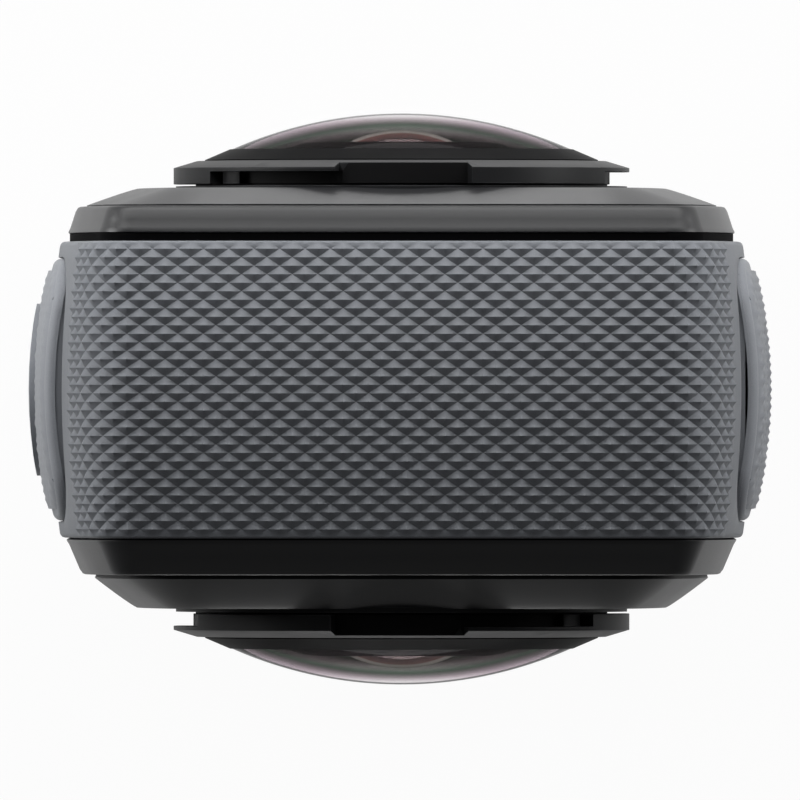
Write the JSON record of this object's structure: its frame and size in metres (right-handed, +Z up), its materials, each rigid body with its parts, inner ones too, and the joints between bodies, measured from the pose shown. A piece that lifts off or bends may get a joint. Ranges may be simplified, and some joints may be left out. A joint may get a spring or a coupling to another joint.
{
  "type": "360 degree camera",
  "caption": "Pocket 360 degree camera with a domed fisheye lens on each face, twist-off lens rings, a diamond-textured grip band, a side door and fold-out mounting fingers.",
  "frame": {"origin": "mouth of the tripod thread, in the middle of the flat base", "axes": "+Z up along the body height, +Y to the rear face with the screen, +X to the side door"},
  "size_m": [0.0634, 0.0492, 0.0694],
  "materials": {
    "shell": "fine matte moulded",
    "frame": "matte moulded",
    "grip": "soft diamond texture",
    "seal": "matte",
    "ring": "fine matte",
    "black": "satin",
    "dome_glass": "coated, polished",
    "lens_glass": "coated, polished",
    "board": "solder mask",
    "spreader": "satin",
    "steel": "satin",
    "display": "gloss",
    "cover_glass": "polished, dark print behind",
    "cell": "matte sleeve",
    "brass": "machined",
    "light": "clear, frosted end",
    "finger": "fine matte"
  },
  "bodies": {
    "housing": {"mid_frame": "frame", "grip_skin": "grip", "base_tray": "frame", "front_gasket": "seal", "front_bezel": "shell", "front_plate": "shell", "rear_gasket": "seal", "rear_bezel": "shell", "rear_plate": "shell", "front_lens_seat": "ring", "front_lens_seal": "seal", "front_barrel": "black", "front_fisheye": "lens_glass", "front_baffle": "black", "front_sensor": "board", "rear_lens_seat": "ring", "rear_lens_seal": "seal", "rear_barrel": "black", "rear_fisheye": "lens_glass", "rear_baffle": "black", "rear_sensor": "board", "heat_spreader": "spreader", "spreader_screws": "steel", "main_board": "board", "display_module": "display", "screen_glass": "cover_glass", "battery_bay": "frame", "battery": "cell", "battery_contacts": "brass", "io_board": "board", "usb_port": "steel", "card_socket": "steel", "speaker": "black", "microphones": "brass", "front_light": "light", "left_pad": "grip", "shutter_seal": "seal", "mode_seal": "seal", "button_board": "board", "shutter_switch": "steel", "mode_switch": "steel", "door_pin": "steel", "finger_pins": "steel", "tripod_bush": "brass", "base_screws": "steel"},
    "front_lens": {"front_lens_ring": "ring", "front_dome_bezel": "black", "front_dome": "dome_glass"},
    "rear_lens": {"rear_lens_ring": "ring", "rear_dome_bezel": "black", "rear_dome": "dome_glass"},
    "shutter": {"shutter_button": "grip"},
    "mode": {"mode_button": "grip"},
    "door": {"side_door": "grip", "door_seal": "seal"},
    "latch": {"door_latch": "black"},
    "left_finger": {"finger_left": "finger"},
    "right_finger": {"finger_right": "finger"}
  },
  "joints": [
    {"name": "front_lens_twist", "type": "hinge", "parent": "housing", "child": "front_lens", "pos_m": [0, -0.0182, 0.043], "axis": [0, -1, 0], "range_deg": [0, 45]},
    {"name": "rear_lens_twist", "type": "hinge", "parent": "housing", "child": "rear_lens", "pos_m": [0, 0.0182, 0.043], "axis": [0, 1, 0], "range_deg": [0, 45]},
    {"name": "shutter_press", "type": "slide", "parent": "housing", "child": "shutter", "axis": [1, 0, 0], "range_m": [0, 0.0006], "stiffness_N_per_m": 3000},
    {"name": "mode_press", "type": "slide", "parent": "housing", "child": "mode", "axis": [1, 0, 0], "range_m": [0, 0.0006], "stiffness_N_per_m": 3000},
    {"name": "door_swing", "type": "hinge", "parent": "housing", "child": "door", "pos_m": [0.02875, 0.0008, 0.0105], "axis": [0, 1, 0], "range_deg": [0, 95]},
    {"name": "latch_slide", "type": "slide", "parent": "door", "child": "latch", "axis": [0, 0, -1], "range_m": [0, 0.002]},
    {"name": "left_finger_fold", "type": "hinge", "parent": "housing", "child": "left_finger", "pos_m": [-0.0031, 0, 0.0019], "axis": [0, -1, 0], "range_deg": [0, 90]},
    {"name": "right_finger_fold", "type": "hinge", "parent": "housing", "child": "right_finger", "pos_m": [0.0031, 0, 0.0019], "axis": [0, 1, 0], "range_deg": [0, 90]}
  ]
}
